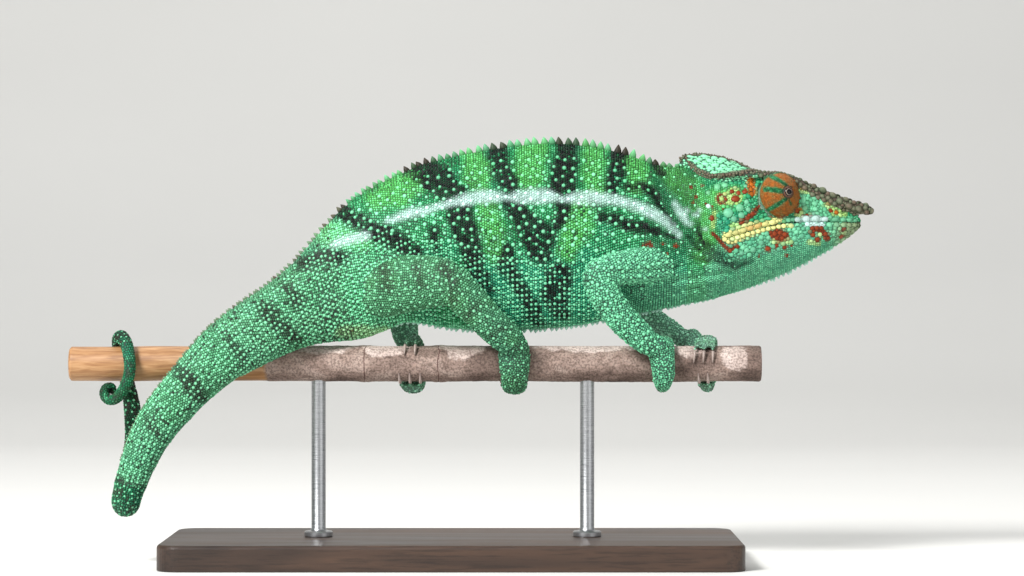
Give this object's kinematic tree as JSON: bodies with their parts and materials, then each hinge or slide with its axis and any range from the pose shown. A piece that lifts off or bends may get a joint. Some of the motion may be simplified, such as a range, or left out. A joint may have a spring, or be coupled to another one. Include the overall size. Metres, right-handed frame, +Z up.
{
  "type": "panther chameleon",
  "caption": "Still life-size panther chameleon gripping a cut length of branch, held over a flat base by two short rods.",
  "frame": {"origin": "middle of the display stand's flat underside", "axes": "+X along the branch towards the animal's head, +Y to the animal's left, +Z up"},
  "size_m": [0.2814, 0.088, 0.1503],
  "materials": {
    "skin": "granular green scaly skin with dark bands and a white side stripe",
    "crest": "brown-grey knobbly horny scales",
    "eyelid": "fine rust-orange scales with green bars",
    "eye": "wet dark eye, stood in by glossy plastic",
    "claw": "pale horn, stood in by gloss plastic",
    "bark": "weathered grey-brown bark, peeled to tan wood towards the tail",
    "stand_timber": "dark stained timber, satin",
    "stand_steel": "brushed"
  },
  "bodies": {
    "root": {"casque": "crest", "cranium": "skin", "eye_left": "eye", "eye_right": "eye", "eye_turret_left": "eyelid", "eye_turret_right": "eyelid", "front_left_claw_1": "claw", "front_left_claw_2": "claw", "front_left_claw_3": "claw", "front_left_claw_4": "claw", "front_left_claw_5": "claw", "front_left_forearm": "skin", "front_left_hand": "skin", "front_left_toes_inner": "skin", "front_left_toes_outer": "skin", "front_left_upper_arm": "skin", "front_right_claw_1": "claw", "front_right_claw_2": "claw", "front_right_claw_3": "claw", "front_right_claw_4": "claw", "front_right_claw_5": "claw", "front_right_forearm": "skin", "front_right_hand": "skin", "front_right_toes_inner": "skin", "front_right_toes_outer": "skin", "front_right_upper_arm": "skin", "hind_left_claw_1": "claw", "hind_left_claw_2": "claw", "hind_left_claw_3": "claw", "hind_left_claw_4": "claw", "hind_left_claw_5": "claw", "hind_left_foot": "skin", "hind_left_shin": "skin", "hind_left_thigh": "skin", "hind_left_toes_inner": "skin", "hind_left_toes_outer": "skin", "hind_right_claw_1": "claw", "hind_right_claw_2": "claw", "hind_right_claw_3": "claw", "hind_right_claw_4": "claw", "hind_right_claw_5": "claw", "hind_right_foot": "skin", "hind_right_shin": "skin", "hind_right_thigh": "skin", "hind_right_toes_inner": "skin", "hind_right_toes_outer": "skin", "lower_jaw": "skin", "neck": "skin", "perch": "bark", "rostral_crest": "crest", "stand_base": "stand_timber", "stand_rod_1": "stand_steel", "stand_rod_2": "stand_steel", "tail_base": "skin", "tail_bend": "skin", "tail_loop": "skin", "tail_middle": "skin", "tail_tip": "skin", "trunk": "skin"}
  },
  "joints": []
}
